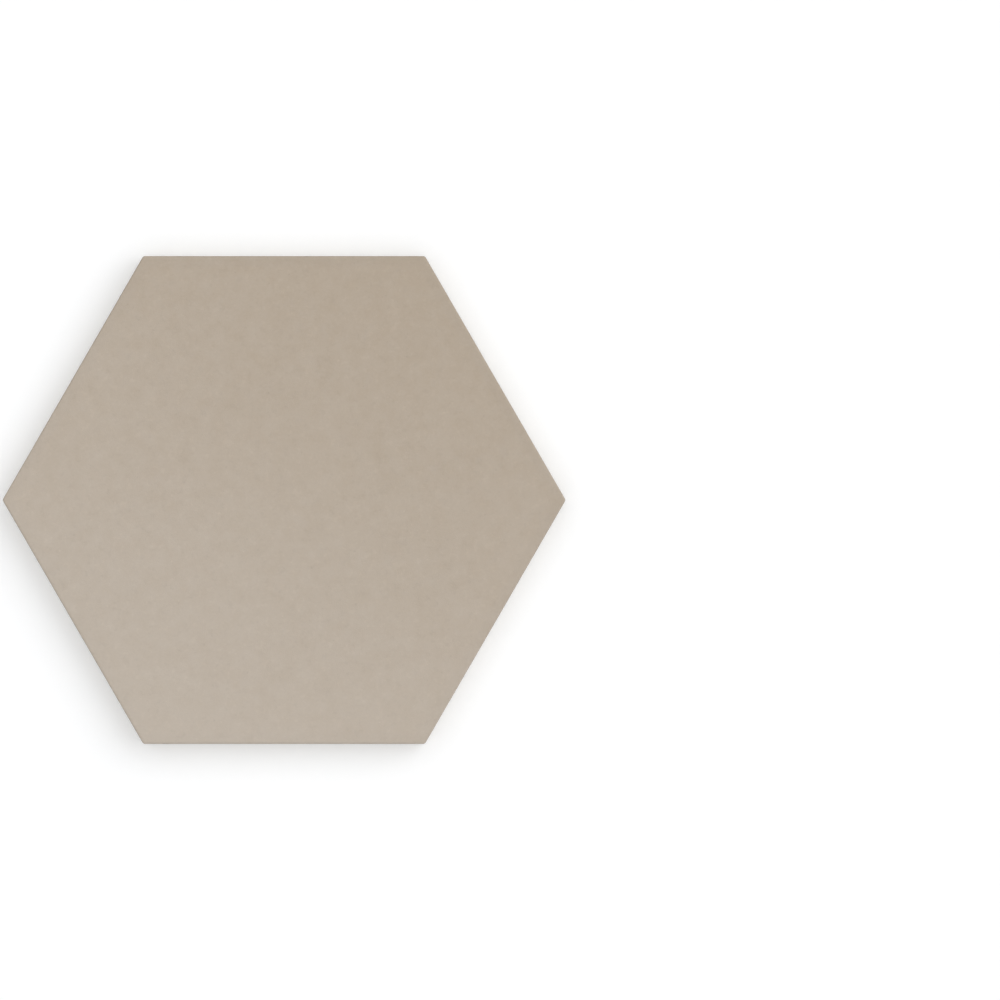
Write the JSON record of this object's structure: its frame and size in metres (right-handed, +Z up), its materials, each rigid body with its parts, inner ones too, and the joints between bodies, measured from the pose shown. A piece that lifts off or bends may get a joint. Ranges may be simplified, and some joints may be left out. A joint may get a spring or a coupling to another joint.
{
  "type": "hexagon floor tile",
  "caption": "Regular hexagonal porcelain floor tile with a flat matt face, softened edge, and a bevelled, keyed back for adhesive bedding.",
  "frame": {"origin": "middle of the back, in the plane that the back rests on", "axes": "+Z up through the face; +X towards a corner; +Y towards the middle of a side"},
  "size_m": [0.1614, 0.14, 0.01],
  "materials": {
    "porcelain": "matte"
  },
  "bodies": {
    "root": {"hexagon_tile": "porcelain"}
  },
  "joints": []
}
